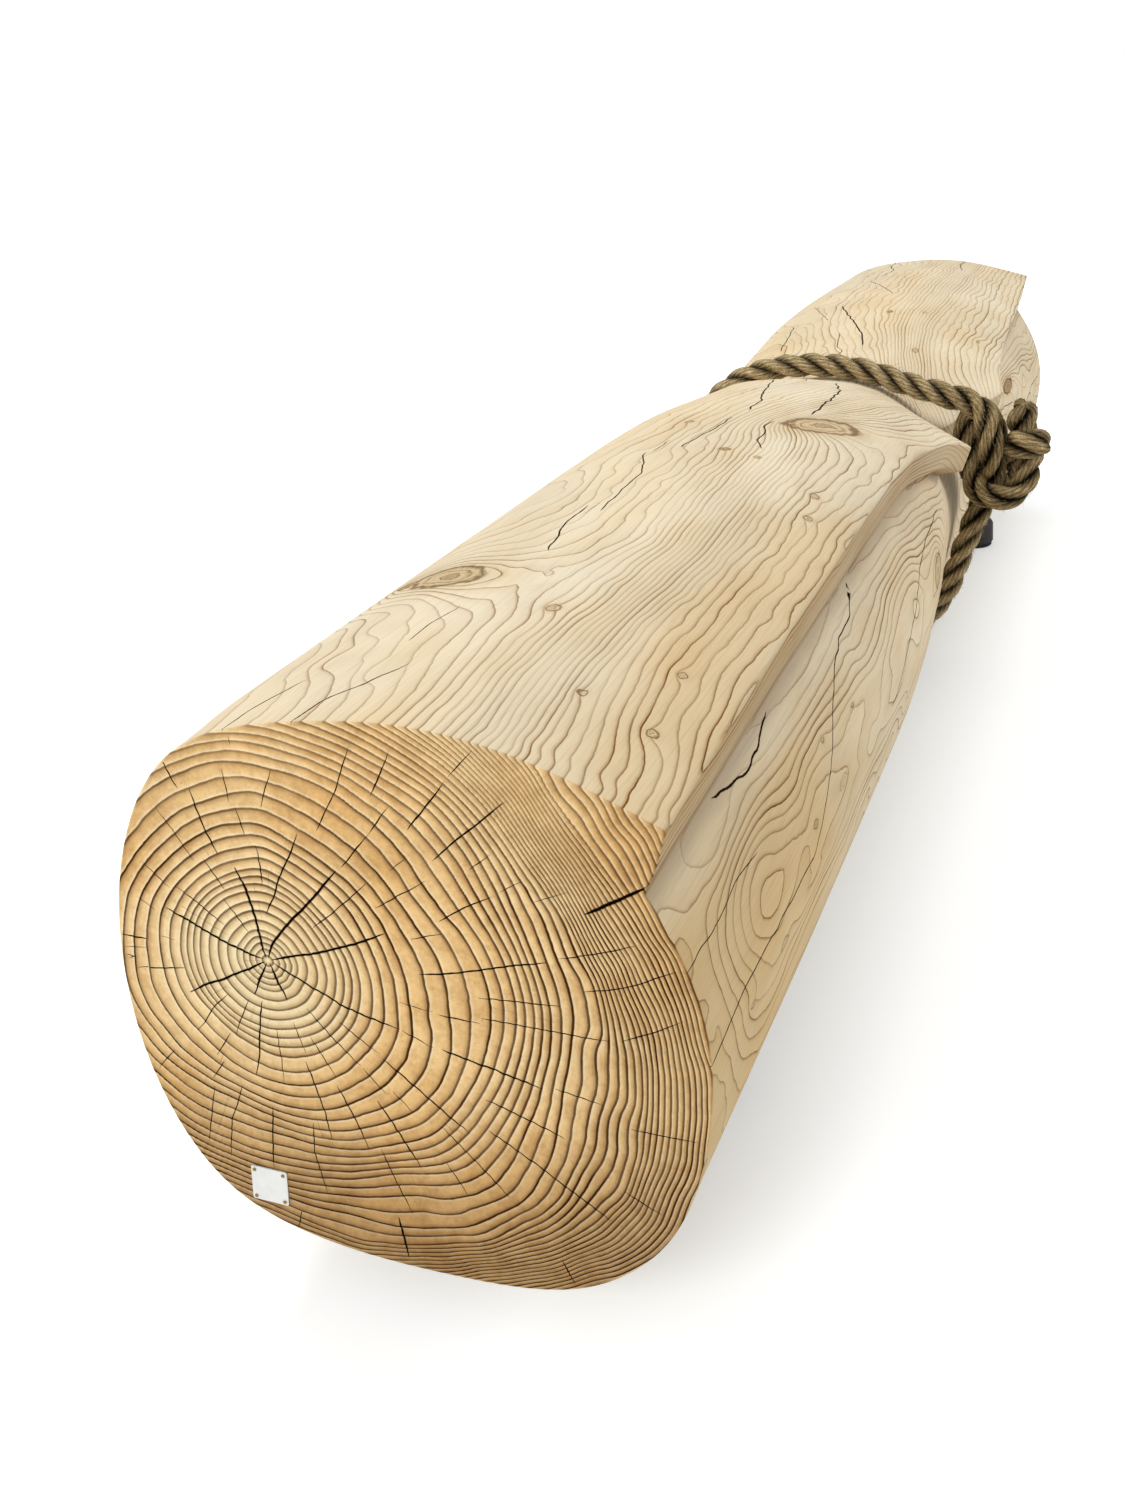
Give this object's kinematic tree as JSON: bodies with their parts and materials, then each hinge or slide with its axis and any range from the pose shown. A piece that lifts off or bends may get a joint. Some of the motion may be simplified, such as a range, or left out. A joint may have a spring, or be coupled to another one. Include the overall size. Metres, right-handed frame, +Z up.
{
  "type": "log bench",
  "caption": "Long solid log bench carved like a rolled mat whose free edge laps over its front, drawn in at the waist by a knotted rope, on short turned feet.",
  "frame": {"origin": "on the floor, under the middle of the whole bench with its rope and knot", "axes": "+Z up; +X along the trunk, from the plated end to the far end; -Y towards the lapped front and the knot"},
  "size_m": [2.602, 0.5532, 0.4817],
  "materials": {
    "wood": "oiled, sanded outside, brushed end grain with raised latewood rings",
    "foot_coat": "dark grey coat over fine turning lines",
    "glide_rubber": "matt moulded rubber",
    "bolt_steel": "zinc plated",
    "insert_brass": "turned",
    "plate_white": "bare satin white enamel",
    "pin_brass": "plain",
    "rope_hemp": "three-strand laid hemp, hairy"
  },
  "bodies": {
    "root": {"log_body": "wood", "foot_near_front": "foot_coat", "foot_near_back": "foot_coat", "foot_far_front": "foot_coat", "foot_far_back": "foot_coat", "glide_near_front": "glide_rubber", "glide_near_back": "glide_rubber", "glide_far_front": "glide_rubber", "glide_far_back": "glide_rubber", "foot_bolts": "bolt_steel", "threaded_inserts": "insert_brass", "end_plate": "plate_white", "plate_pins": "pin_brass", "rope_wrap": "rope_hemp", "knot_upper_strand": "rope_hemp", "knot_lower_strand": "rope_hemp"}
  },
  "joints": []
}
